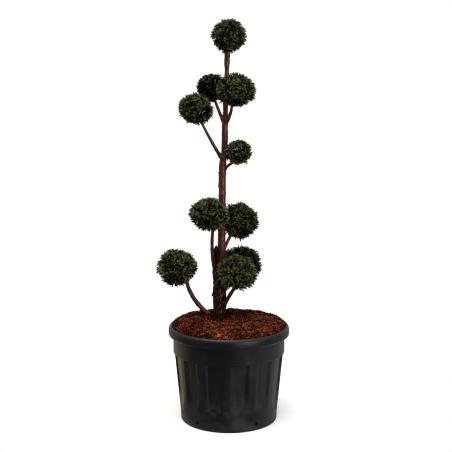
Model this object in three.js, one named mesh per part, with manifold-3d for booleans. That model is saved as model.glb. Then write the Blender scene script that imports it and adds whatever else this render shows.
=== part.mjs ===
// A potted yew trained as a ball topiary: clipped balls of needles on boughs that leave one trunk, in a
// ribbed plastic nursery pot filled with bark mulch. Millimetres, +Z up. The origin is the centre of the
// pot's underside, the plant is seen from the front along +Y, and +X is to the right.

import * as THREE from 'three';
import { mergeVertices } from 'three/addons/utils/BufferGeometryUtils.js';
import Module from 'manifold-3d';

// Gap between pieces that touch, and the distance under which two corners are one
const CLEARANCE = 0.3;
const MERGE_DISTANCE = 0.001;

// Pot: a tapering tub with a smooth foot, ribs up to an overhanging collar, and a rolled rim
const POT_HEIGHT = 412;
const RIM_RADIUS = 260;
const RIM_INNER_RADIUS = 244;
const RIM_DEPTH = 41;
const RIM_ROLL = 5;
const COLLAR_RADIUS = 240;
const COLLAR_FOOT_HEIGHT = 294;
const COLLAR_OVERHANG = 5;
const FOOT_RADIUS = 209;
const FOOT_HEIGHT = 54;
const FOOT_BEVEL = 5;
const WALL = 4;
const FLOOR = 8;
const RIB_COUNT = 13;
const RIB_WIDTH_DEG = 10.1;
const RIB_FLANK_DEG = 2;
const RIB_TURN_DEG = -2.3;
const FLUTE_DEPTH = 7;
const FLUTE_RUN_OUT = 14;

// Drainage holes: upright ovals through the foot
const DRAIN_COUNT = 5;
const DRAIN_WIDTH = 10;
const DRAIN_TALL = 16;
const DRAIN_HEIGHT = 28;
const DRAIN_TURN_DEG = -39;

// Soil: bark mulch heaped steeply from just under the rim to a shoulder, then gently to a broad crown
const SOIL_EDGE_RADIUS = 240;
const SOIL_EDGE_HEIGHT = 403;
const SOIL_SHOULDER_HEIGHT = 432;
const SOIL_SHOULDER_POWER = 30;
const SOIL_CROWN_HEIGHT = 446;
const SOIL_SEGMENTS = 30;
const SOIL_RINGS = [1, 0.98, 0.95, 0.9, 0.82, 0.62, 0.38, 0];
const STEM_SEAT_DEPTH = 6;

// Trunk: height of each station, how far right of the pot's axis it stands, and its radius there
const TRUNK_STATIONS = [
  { height: 440, x: -40, radius: 34 },
  { height: 472, x: -40, radius: 27.5 },
  { height: 640, x: -41, radius: 29 },
  { height: 676, x: -37, radius: 24.5 },
  { height: 715, x: -31.5, radius: 17 },
  { height: 1020, x: -29, radius: 15.6 },
  { height: 1085, x: -27.5, radius: 15.7 },
  { height: 1160, x: -19, radius: 13.2 },
  { height: 1260, x: -17.2, radius: 12.9 },
  { height: 1320, x: -14.8, radius: 11 },
  { height: 1490, x: -9.5, radius: 9.8 },
  { height: 1568, x: -7, radius: 12.5 },
];
const TRUNK_FOOT_Y = 65;
const TRUNK_TIP_Y = 55;
const TRUNK_SIDES = 10;
const TRUNK_RINGS = 26;

// Dead stub: a stout pointed snag on the shoulder where the trunk narrows, beside the lower left bough
const STUB_ROOT = [-49, 55, 650];
const STUB_TIP = [-56, 46, 750];
const STUB_ROOT_RADIUS = 14;
const STUB_TIP_RADIUS = 1.2;
const STUB_RINGS = 5;

// Balls: each one's heart, its width and height, and the bough that carries it. A bough leaves the trunk's
// axis at a height, or comes up through the soil from a point, bends at its elbow and makes for the heart,
// or for a point beside it. The top ball sits on the trunk's tip.
const BALLS = [
  { name: 'top', heart: [0, 55, 1638], width: 147, height: 144 },
  {
    name: 'upper_back', heart: [-77, 118, 1422], width: 129, height: 123,
    bough: { rootHeight: 1268, elbow: [-50, 84, 1334], rootRadius: 7.5, tipRadius: 6 },
  },
  {
    name: 'upper_front', heart: [28, -33, 1412], width: 170, height: 138,
    bough: { rootHeight: 1268, elbow: [22, 20, 1326], aim: [12, -20, 1405], rootRadius: 7.5, tipRadius: 5.5 },
  },
  {
    name: 'upper_left', heart: [-141, 20, 1335], width: 152, height: 130,
    bough: { rootHeight: 1115, elbow: [-94, 46, 1222], rootRadius: 8, tipRadius: 5 },
  },
  {
    name: 'middle_right', heart: [39, 13, 1154], width: 115, height: 105,
    bough: { rootHeight: 1062, elbow: [0, 40, 1112], aim: [36, 20, 1112], rootRadius: 7, tipRadius: 5 },
  },
  {
    name: 'lower_left', heart: [-83, -37, 898], width: 170, height: 141,
    bough: { rootHeight: 606, elbow: [-90, 35, 674], aim: [-62, -25, 885], rootRadius: 9, tipRadius: 6.5 },
  },
  {
    name: 'lower_right', heart: [51, 113, 849], width: 158, height: 162,
    bough: { rootHeight: 684, elbow: [-15, 82, 764], rootRadius: 7.5, tipRadius: 6.2 },
  },
  {
    name: 'side_left', heart: [-224, 40, 655], width: 175, height: 158,
    bough: {
      soilRoot: [-70, 79, 420], elbow: [-196, 66, 522], aim: [-186, 40, 645], rootRadius: 11.5, tipRadius: 8,
    },
  },
  {
    name: 'bottom_front', heart: [34, -35, 648], width: 176, height: 150,
    bough: { rootHeight: 447, elbow: [18, 22, 572], aim: [80, -35, 649], rootRadius: 9.5, tipRadius: 7 },
  },
  {
    name: 'bottom_back', heart: [60, 142, 650], width: 175, height: 160,
    bough: { rootHeight: 474, elbow: [-20, 92, 560], rootRadius: 5.8, tipRadius: 4.6 },
  },
];
const BOUGH_SIDES = 7;
const BOUGH_RINGS = 7;

// Foliage: the core inside a ball, the twigs that spread from its heart, one to each area of its surface,
// and the sprays on each twig. Reaches are shares of the way from the heart to the clipped surface.
const CORE_REACH = 0.8;
const CORE_DETAIL = 1;
const TWIG_AREA = 7900;
const TWIG_REACH = 1;
const TWIG_ROOT_RADIUS = 4;
const TWIG_TIP_RADIUS = 1.5;
const TWIG_SIDES = 3;
const TWIG_WANDER = 0.22;
const SPRAYS_ROUND_TWIG = 3;
const SPRAY_ROOT_REACH = 0.6;
const SPRAY_SPREAD = 0.37;
const SPRAY_WIDTH_SHARE = 0.95;
const SPRAY_THICKNESS = 3;
const LIMB_MARGIN = 1;
const FIRST_SEED = 1201;

// A spray's toothed edge round from its leading tooth, and the ridge on its faces, in shares of its length
// and width
const SPRAY_EDGE = [
  { along: 1, across: 0 },
  { along: 0.74, across: 0.2 },
  { along: 0.7, across: 0.5 },
  { along: 0, across: 0 },
  { along: 0.7, across: -0.5 },
  { along: 0.74, across: -0.2 },
];
const SPRAY_RIDGE = { along: 0.6, across: 0 };

const POT_FINISH = { color: 0x25262a, roughness: 0.5, metalness: 0 };
const SOIL_FINISH = { color: 0x6a2f19, roughness: 1, metalness: 0 };
const TRUNK_FINISH = { color: 0x55322c, roughness: 0.7, metalness: 0 };
const BOUGH_FINISH = { color: 0x5f3731, roughness: 0.65, metalness: 0 };
const DEAD_FINISH = { color: 0x2c2420, roughness: 0.9, metalness: 0 };
const FOLIAGE_FINISH = { color: 0x2c3317, roughness: 0.6, metalness: 0 };

const wasm = await Module();
wasm.setup();

const radians = THREE.MathUtils.degToRad;
const vector = (coordinates) => new THREE.Vector3(...coordinates);

// A closed solid from a geometry, with shared corners merged and the empty triangles at its poles dropped
function solidOf(geometry) {
  geometry.deleteAttribute('normal');
  geometry.deleteAttribute('uv');
  const merged = mergeVertices(geometry, MERGE_DISTANCE);
  const corners = merged.index.array;
  const triangles = [];
  for (let i = 0; i < corners.length; i += 3) {
    const [a, b, c] = corners.slice(i, i + 3);
    if (a !== b && b !== c && c !== a) triangles.push(a, b, c);
  }
  return new wasm.Manifold(new wasm.Mesh({
    numProp: 3,
    vertProperties: Float32Array.from(merged.attributes.position.array),
    triVerts: Uint32Array.from(triangles),
  }));
}

// The largest body of a solid: loose scraps and the skins of sealed hollows fall away
function mainBody(solid) {
  const bodies = solid.decompose();
  return bodies.reduce((largest, body) => (body.volume() > largest.volume() ? body : largest));
}

// A named mesh with its own finish, whose solid is given about the point where the mesh is placed
function piece(name, solid, finish, place = [0, 0, 0]) {
  const { vertProperties, triVerts } = solid.getMesh();
  const geometry = new THREE.BufferGeometry();
  geometry.setAttribute('position', new THREE.BufferAttribute(vertProperties, 3));
  geometry.setIndex(new THREE.BufferAttribute(triVerts, 1));
  geometry.computeVertexNormals();
  const mesh = new THREE.Mesh(geometry, new THREE.MeshStandardMaterial(finish));
  mesh.name = name;
  mesh.position.set(...place);
  return mesh;
}

// A geometry turned about the vertical axis; its angles run from the front towards the right
function turned(rings, segments) {
  const profile = rings.map(({ radius, height }) => new THREE.Vector2(radius, height));
  return new THREE.LatheGeometry(profile, segments).rotateX(Math.PI / 2);
}

// Radius of the ribs' faces, which taper from the foot to the collar
function ribRadius(height) {
  const share = (height - FOOT_HEIGHT) / (COLLAR_FOOT_HEIGHT - FOOT_HEIGHT);
  return THREE.MathUtils.lerp(FOOT_RADIUS + 1, COLLAR_RADIUS - COLLAR_OVERHANG, share);
}

// The pot's profile: up the outside, over the rim and down the inside to the floor
function potRings() {
  const fluteFoot = FOOT_HEIGHT + FLUTE_RUN_OUT;
  const rimFoot = POT_HEIGHT - RIM_DEPTH;
  const outside = [
    { radius: 0, height: 0 },
    { radius: FOOT_RADIUS - FOOT_BEVEL, height: 0 },
    { radius: FOOT_RADIUS, height: FOOT_BEVEL },
    { radius: ribRadius(FOOT_HEIGHT), height: FOOT_HEIGHT },
    { radius: ribRadius(fluteFoot), height: fluteFoot, fluted: true },
    { radius: ribRadius(COLLAR_FOOT_HEIGHT), height: COLLAR_FOOT_HEIGHT, fluted: true },
    { radius: COLLAR_RADIUS - 1, height: COLLAR_FOOT_HEIGHT + 2 },
    { radius: COLLAR_RADIUS, height: rimFoot },
    { radius: RIM_RADIUS - RIM_ROLL, height: rimFoot + 1 },
    { radius: RIM_RADIUS, height: rimFoot + RIM_ROLL },
    { radius: RIM_RADIUS, height: POT_HEIGHT - 2 * RIM_ROLL },
    { radius: RIM_RADIUS - RIM_ROLL, height: POT_HEIGHT - 1 },
    { radius: RIM_INNER_RADIUS + RIM_ROLL, height: POT_HEIGHT },
  ];
  return [...outside, ...cavityRings()];
}

// The inside of the pot's wall, from the rim's inner edge down to the middle of the floor
function cavityRings() {
  const fluted = WALL + FLUTE_DEPTH;
  const fluteFoot = FOOT_HEIGHT + FLUTE_RUN_OUT;
  return [
    { radius: RIM_INNER_RADIUS, height: POT_HEIGHT - 3 },
    { radius: COLLAR_RADIUS - WALL, height: POT_HEIGHT - RIM_DEPTH },
    { radius: COLLAR_RADIUS - WALL - 1, height: COLLAR_FOOT_HEIGHT + WALL },
    { radius: ribRadius(COLLAR_FOOT_HEIGHT) - fluted, height: COLLAR_FOOT_HEIGHT - WALL },
    { radius: ribRadius(fluteFoot) - fluted, height: fluteFoot },
    { radius: FOOT_RADIUS - WALL, height: FOOT_HEIGHT - WALL },
    { radius: FOOT_RADIUS - WALL, height: FLOOR },
    { radius: 0, height: FLOOR },
  ];
}

// Where the wall's corners lie round one rib and the flute beside it, in degrees from the rib's middle
const ribPitch = 360 / RIB_COUNT;
const ribEdge = RIB_WIDTH_DEG / 2;
const fluteEdge = ribEdge + RIB_FLANK_DEG;
const RIB_CORNERS = [
  { degrees: 0 },
  { degrees: ribEdge },
  { degrees: fluteEdge, flute: true },
  { degrees: ribPitch / 2, flute: true },
  { degrees: ribPitch - fluteEdge, flute: true },
  { degrees: ribPitch - ribEdge },
];

function potSolid() {
  const rings = potRings();
  const geometry = turned(rings, RIB_COUNT * RIB_CORNERS.length);
  const { position } = geometry.attributes;
  for (let index = 0; index < position.count; index += 1) {
    const ring = rings[index % rings.length];
    const column = Math.floor(index / rings.length);
    const rib = Math.floor(column / RIB_CORNERS.length);
    const corner = RIB_CORNERS[column % RIB_CORNERS.length];
    const angle = radians(RIB_TURN_DEG + rib * ribPitch + corner.degrees);
    const radius = ring.radius - (ring.fluted && corner.flute ? FLUTE_DEPTH : 0);
    position.setXY(index, radius * Math.sin(angle), -radius * Math.cos(angle));
  }
  let pot = solidOf(geometry);
  for (let drain = 0; drain < DRAIN_COUNT; drain += 1) {
    pot = pot.subtract(drainHole(DRAIN_TURN_DEG + drain * (360 / DRAIN_COUNT)));
  }
  return pot;
}

// An oval plug that points out through the foot at an angle from the front
function drainHole(degrees) {
  const hole = new THREE.CylinderGeometry(DRAIN_WIDTH / 2, DRAIN_WIDTH / 2, WALL * 4, 10);
  hole.scale(1, 1, DRAIN_TALL / DRAIN_WIDTH);
  hole.translate(0, -FOOT_RADIUS, DRAIN_HEIGHT);
  hole.rotateZ(radians(degrees));
  return solidOf(hole);
}

// The mulch follows the pot's inside, clear of the flats between the wall's corners, under the heap
function soilSolid() {
  const widestStep = radians(ribPitch / 2 - fluteEdge);
  const lining = cavityRings()
    .filter(({ height }) => height < POT_HEIGHT - RIM_DEPTH / 2)
    .map(({ radius, height }) => ({
      radius: Math.max(0, radius * Math.cos(widestStep / 2) - CLEARANCE),
      height: height === FLOOR ? FLOOR + CLEARANCE : height,
    }))
    .reverse();
  const heap = SOIL_RINGS.map((share) => {
    const radius = SOIL_EDGE_RADIUS * share;
    return { radius, height: soilHeight(radius) };
  });
  return solidOf(turned([...lining, ...heap], SOIL_SEGMENTS));
}

// Height of the heaped mulch at a distance from the pot's axis
function soilHeight(radius) {
  const share = radius / SOIL_EDGE_RADIUS;
  const shoulder = (SOIL_SHOULDER_HEIGHT - SOIL_EDGE_HEIGHT) * (1 - share ** SOIL_SHOULDER_POWER);
  const crown = (SOIL_CROWN_HEIGHT - SOIL_SHOULDER_HEIGHT) * (1 - share ** 2);
  return SOIL_EDGE_HEIGHT + shoulder + crown;
}

// A limb: a cylinder whose rings are carried along a path, each square to the path's direction there
function limbSolid({ sides, rings, pointAt, directionAt, radiusAt }) {
  const geometry = new THREE.CylinderGeometry(1, 1, 1, sides, rings);
  const { position } = geometry.attributes;
  const corner = new THREE.Vector3();
  for (let index = 0; index < position.count; index += 1) {
    corner.fromBufferAttribute(position, index);
    const along = corner.y + 0.5;
    const direction = directionAt(along);
    const across = new THREE.Vector3(0, 1, 0).projectOnPlane(direction).normalize();
    const beside = new THREE.Vector3().crossVectors(direction, across);
    const place = pointAt(along);
    place.addScaledVector(across, corner.z * radiusAt(along));
    place.addScaledVector(beside, corner.x * radiusAt(along));
    position.setXYZ(index, place.x, place.y, place.z);
  }
  return solidOf(geometry);
}

const trunkFoot = TRUNK_STATIONS[0].height;
const trunkTip = TRUNK_STATIONS.at(-1).height;

// The trunk's axis and radius at a height, eased between its stations
function trunkAt(height) {
  const next = Math.max(1, TRUNK_STATIONS.findIndex((station) => station.height >= height));
  const [below, above] = TRUNK_STATIONS.slice(next - 1, next + 1);
  const share = THREE.MathUtils.smoothstep(height, below.height, above.height);
  const rise = (height - trunkFoot) / (trunkTip - trunkFoot);
  return {
    axis: new THREE.Vector3(
      THREE.MathUtils.lerp(below.x, above.x, share),
      THREE.MathUtils.lerp(TRUNK_FOOT_Y, TRUNK_TIP_Y, rise),
      height,
    ),
    radius: THREE.MathUtils.lerp(below.radius, above.radius, share),
  };
}

// The trunk with level rings, so that its foot and tip are flat cuts; margin makes it stouter all round
function trunkSolid(margin = 0) {
  const stationAt = (along) => trunkAt(THREE.MathUtils.lerp(trunkFoot, trunkTip, along));
  const trunk = limbSolid({
    sides: TRUNK_SIDES,
    rings: TRUNK_RINGS,
    pointAt: (along) => stationAt(along).axis,
    directionAt: () => new THREE.Vector3(0, 0, 1),
    radiusAt: (along) => stationAt(along).radius + margin,
  });
  return margin === 0 ? trunk : trunk.add(trunk.translate([0, 0, -margin]));
}

// The snag keeps its girth for most of its length, clear of the trunk and of the bough beside it
function stubSolid(trunkWithGap) {
  const path = new THREE.LineCurve3(vector(STUB_ROOT), vector(STUB_TIP));
  const stub = limbSolid({
    sides: BOUGH_SIDES,
    rings: STUB_RINGS,
    pointAt: (along) => path.getPoint(along),
    directionAt: (along) => path.getTangent(along),
    radiusAt: (along) => THREE.MathUtils.lerp(STUB_ROOT_RADIUS, STUB_TIP_RADIUS, along ** 7),
  });
  const boughBeside = BALLS.find(({ name }) => name === 'lower_left');
  return mainBody(stub.subtract(trunkWithGap).subtract(boughSolid(boughBeside, CLEARANCE)));
}

// The clipped surface of a ball: half its width and height along each axis
function ballHalves({ width, height }) {
  return new THREE.Vector3(width / 2, width / 2, height / 2);
}

// The path of a ball's bough from its root to where it aims inside the ball, and the share of it outside the
// ball. The top ball's path starts on the trunk's level tip.
function boughPath(ball) {
  const heart = vector(ball.heart);
  if (!ball.bough) {
    return { path: new THREE.LineCurve3(trunkAt(trunkTip).axis, heart), tip: 0, level: true };
  }
  const { rootHeight, soilRoot, elbow, aim = ball.heart } = ball.bough;
  const root = soilRoot ? vector(soilRoot) : trunkAt(rootHeight).axis;
  const path = new THREE.QuadraticBezierCurve3(root, vector(elbow), vector(aim));
  const halves = ballHalves(ball);
  let outside = 0;
  let inside = 1;
  while ((inside - outside) * path.getLength() > MERGE_DISTANCE) {
    const middle = (outside + inside) / 2;
    const reach = path.getPointAt(middle).sub(heart).divide(halves).length();
    if (reach > 1) outside = middle;
    else inside = middle;
  }
  return { path, tip: outside };
}

// A stretch of a bough's path as a limb that tapers evenly; on a level one the rings lie flat
function boughStretch({ path, level, from, to, fromRadius, toRadius, rings }) {
  const shareAt = (along) => THREE.MathUtils.lerp(from, to, along);
  return limbSolid({
    sides: BOUGH_SIDES,
    rings,
    pointAt: (along) => path.getPointAt(shareAt(along)),
    directionAt: (along) => (level ? new THREE.Vector3(0, 0, 1) : path.getTangentAt(shareAt(along))),
    radiusAt: (along) => THREE.MathUtils.lerp(fromRadius, toRadius, along),
  });
}

// A ball's bough from its root to where it enters the ball; margin makes it stouter all round
function boughSolid(ball, margin = 0) {
  const { path, tip } = boughPath(ball);
  const { rootRadius, tipRadius } = ball.bough;
  return boughStretch({
    path,
    from: 0,
    to: tip,
    fromRadius: rootRadius + margin,
    toRadius: tipRadius + margin,
    rings: BOUGH_RINGS,
  });
}

// Everything under a level cut at a height
function groundBlock(height) {
  const block = new THREE.BoxGeometry(RIM_RADIUS * 2, RIM_RADIUS * 2, POT_HEIGHT);
  return solidOf(block.translate(0, 0, height - POT_HEIGHT / 2));
}

// A repeatable stream of numbers from 0 to 1 for one seed
function seededRandom(seed) {
  let state = seed >>> 0;
  return () => {
    state = (state + 0x6d2b79f5) >>> 0;
    let mixed = Math.imul(state ^ (state >>> 15), state | 1);
    mixed = (mixed + Math.imul(mixed ^ (mixed >>> 7), mixed | 61)) ^ mixed;
    return ((mixed ^ (mixed >>> 14)) >>> 0) / 4294967296;
  };
}

// Directions of a ball's twigs: the first straight up, the others on a golden spiral down, each nudged by
// the seed
function twigDirections(count, random) {
  const golden = Math.PI * (3 - Math.sqrt(5));
  const directions = [];
  for (let twig = 0; twig < count; twig += 1) {
    const level = 1 - (2 * twig) / (count - 1);
    const nudge = twig === 0 ? 0 : TWIG_WANDER * (random() - 0.5);
    const polar = Math.acos(THREE.MathUtils.clamp(level, -1, 1)) + nudge;
    const turn = golden * twig + TWIG_WANDER * (random() - 0.5);
    directions.push(new THREE.Vector3().setFromSphericalCoords(1, polar, turn).applyAxisAngle(
      new THREE.Vector3(1, 0, 0),
      Math.PI / 2,
    ));
  }
  return directions;
}

// Directions of the sprays on one twig, which lean out round it
function sprayDirections(direction, spread, random) {
  const side = new THREE.Vector3(0.3, 0.9, 0.2).cross(direction).normalize();
  const phase = random() * Math.PI * 2;
  const directions = [];
  for (let spray = 0; spray < SPRAYS_ROUND_TWIG; spray += 1) {
    const turn = phase + (spray * Math.PI * 2) / SPRAYS_ROUND_TWIG;
    const hinge = side.clone().applyAxisAngle(direction, turn);
    directions.push(direction.clone().applyAxisAngle(hinge, spread * (0.9 + 0.2 * random())));
  }
  return directions;
}

// A spray of needles as a flat blade on a narrow root, with a leading tooth and a tooth at either side
function spraySolid(root, tip, outward) {
  const blade = new THREE.SphereGeometry(1, SPRAY_EDGE.length, 2);
  const { position } = blade.attributes;
  const along = tip.clone().sub(root);
  const across = new THREE.Vector3().crossVectors(outward, along);
  across.setLength(along.length() * SPRAY_WIDTH_SHARE);
  const through = new THREE.Vector3().crossVectors(across, along).setLength(SPRAY_THICKNESS / 2);
  const place = new THREE.Vector3();
  for (let index = 0; index < position.count; index += 1) {
    const [x, y, z] = [position.getX(index), position.getY(index), position.getZ(index)];
    const turn = Math.round((Math.atan2(z, x) / Math.PI / 2) * SPRAY_EDGE.length);
    const corner = Math.abs(y) > 0.5 ? SPRAY_RIDGE : SPRAY_EDGE.at(turn);
    place.copy(root).addScaledVector(along, corner.along);
    place.addScaledVector(through, y).addScaledVector(across, corner.across);
    position.setXYZ(index, place.x, place.y, place.z);
  }
  return solidOf(blade);
}

// A twig from the heart outwards
function twigSolid(tip) {
  const path = new THREE.LineCurve3(new THREE.Vector3(), tip);
  return limbSolid({
    sides: TWIG_SIDES,
    rings: 1,
    pointAt: (along) => path.getPoint(along),
    directionAt: () => tip.clone().normalize(),
    radiusAt: (along) => THREE.MathUtils.lerp(TWIG_ROOT_RADIUS, TWIG_TIP_RADIUS, along),
  });
}

// A ball about its heart: the stem that carries on from the bough, the core, and the twigs and sprays that
// stand out of it. A twig or spray that would touch a limb is left out.
function ballSolid(ball, seed, limbs) {
  const heart = vector(ball.heart);
  const halves = ballHalves(ball);
  const random = seededRandom(seed);
  const { path, tip, level } = boughPath(ball);
  const stemRadius = ball.bough ? ball.bough.tipRadius : TRUNK_STATIONS.at(-1).radius;
  const stem = boughStretch({
    path,
    level,
    from: tip + CLEARANCE / path.getLength(),
    to: 1,
    fromRadius: stemRadius,
    toRadius: TWIG_ROOT_RADIUS,
    rings: 2,
  }).translate(heart.clone().negate().toArray());
  const core = new THREE.IcosahedronGeometry(CORE_REACH, CORE_DETAIL).scale(...halves.toArray());
  const grown = [stem, solidOf(core)];
  const nearLimbs = limbs.map((limb) => limb.translate(heart.clone().negate().toArray()));
  const clearOfLimbs = (solid) => nearLimbs.every((limb) => solid.intersect(limb).isEmpty());
  const area = Math.PI * ball.width * (ball.width + ball.height) / 2;
  const twigCount = Math.round(area / TWIG_AREA);
  const spread = SPRAY_SPREAD * Math.sqrt((4 * Math.PI) / twigCount);
  for (const direction of twigDirections(twigCount, random)) {
    const twig = twigSolid(direction.clone().multiply(halves).multiplyScalar(TWIG_REACH));
    if (clearOfLimbs(twig)) grown.push(twig);
    const root = direction.clone().multiply(halves).multiplyScalar(SPRAY_ROOT_REACH);
    for (const sprayDirection of sprayDirections(direction, spread, random)) {
      const spray = spraySolid(root, sprayDirection.clone().multiply(halves), direction);
      if (clearOfLimbs(spray)) grown.push(spray);
    }
  }
  return mainBody(wasm.Manifold.union(grown));
}

const topiary = new THREE.Group();
topiary.name = 'potted_yew_topiary';

const trunkWithGap = trunkSolid(CLEARANCE);
const trunkWithMargin = trunkSolid(LIMB_MARGIN);
topiary.add(piece('pot', potSolid(), POT_FINISH));
topiary.add(piece('trunk', trunkSolid(), TRUNK_FINISH));
topiary.add(piece('dead_stub', stubSolid(trunkWithGap), DEAD_FINISH));

let soil = soilSolid().subtract(trunkWithGap);
BALLS.forEach((ball, index) => {
  const limbs = [trunkWithMargin];
  if (ball.bough) {
    let bough = boughSolid(ball).subtract(trunkWithGap);
    if (ball.bough.soilRoot) {
      const [x, y] = ball.bough.soilRoot;
      const seat = soilHeight(Math.hypot(x, y)) - STEM_SEAT_DEPTH;
      bough = bough.subtract(groundBlock(seat));
      soil = soil.subtract(boughSolid(ball, CLEARANCE).subtract(groundBlock(seat - CLEARANCE)));
    }
    topiary.add(piece(`bough_${ball.name}`, mainBody(bough), BOUGH_FINISH));
    limbs.push(boughSolid(ball, LIMB_MARGIN));
  }
  const foliage = ballSolid(ball, FIRST_SEED + index, limbs);
  topiary.add(piece(`ball_${ball.name}`, foliage, FOLIAGE_FINISH, ball.heart));
});
topiary.add(piece('soil', mainBody(soil), SOIL_FINISH));

export default topiary;
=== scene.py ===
import math
from itertools import product
from types import SimpleNamespace

import bpy
from mathutils import Matrix, Quaternion, Vector
from mathutils import noise as clumps


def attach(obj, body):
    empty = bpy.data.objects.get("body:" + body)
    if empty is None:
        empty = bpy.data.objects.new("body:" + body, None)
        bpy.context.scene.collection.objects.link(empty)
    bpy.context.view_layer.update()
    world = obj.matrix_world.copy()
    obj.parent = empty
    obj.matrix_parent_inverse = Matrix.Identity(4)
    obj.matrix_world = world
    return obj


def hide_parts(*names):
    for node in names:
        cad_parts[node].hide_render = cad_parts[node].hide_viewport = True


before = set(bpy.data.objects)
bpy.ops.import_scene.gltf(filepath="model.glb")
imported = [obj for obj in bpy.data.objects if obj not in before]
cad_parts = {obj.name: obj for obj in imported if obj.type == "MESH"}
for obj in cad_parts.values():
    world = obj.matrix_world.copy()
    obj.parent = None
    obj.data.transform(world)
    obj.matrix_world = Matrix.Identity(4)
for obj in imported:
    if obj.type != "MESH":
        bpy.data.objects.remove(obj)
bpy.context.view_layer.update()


# Pot
# A nursery tub of black polyethylene, injection moulded in one piece: a smooth foot with drain holes, a wall
# pressed into ribs and flutes, an overhanging collar and a rolled rim. Everything else stands in it.

POT_HEIGHT = 0.412
RIM_RADIUS = 0.260
RIM_INNER_RADIUS = 0.244
RIM_FOOT_HEIGHT = 0.371
RIM_EDGE = 0.008
ROLL_WIDTH = 0.011
ROLL_DROP = 0.019
COLLAR_RADIUS = 0.240
COLLAR_FOOT_HEIGHT = 0.294
COLLAR_FILLET = 0.002
WALL_TOP = (0.235, 0.2935)
WALL_FOOT = (0.210, 0.034)
WALL_ROWS = 40
WALL_THICKNESS = 0.004
WALL_DRAFT = 0.001
FOOT_RADIUS = 0.209
FOOT_HEIGHT = 0.054
INNER_FOOT_HEIGHT = 0.068
FLOOR_HEIGHT = 0.008
UNDERSIDE = [(0, 0.003), (0.176, 0.003), (0.180, 0.0), (0.204, 0.0)]
EDGE = 0.005
FLUTE_DEPTH = 0.007
RIB_COUNT = 13
RIB_WIDTH = math.radians(10.1)
RIB_TURN = math.radians(-2.3)
FLANK_WIDTH = math.radians(2)
RIB_COLUMNS, FLANK_COLUMNS, FLUTE_COLUMNS = 4, 5, 8
POT_SIZES = dict(
    rib_count=RIB_COUNT, rib_width=RIB_WIDTH, flank_width=FLANK_WIDTH, turn=RIB_TURN,
    flute_depth=FLUTE_DEPTH, foot_height=0.046, foot_bow=0.03, run_out=0.08,
    drain_count=5, drain_turn=math.radians(-39), drain_radius=FOOT_RADIUS, drain_height=0.028,
    drain_size=(0.012, 0.019, 0.016),
)
SHARP_ANGLE = math.radians(50)
PLASTIC_ROUGHNESS = 0.40
POT_SMEARS = ((-0.183, -0.155, 0.345), (-0.068, -0.205, 0.105), (-0.020, -0.212, 0.100), (0.09, 0.20, 0.33))
SMEAR_REACH = 0.055
SPLASH_HEIGHTS = (0.04, 0.21)


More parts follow.
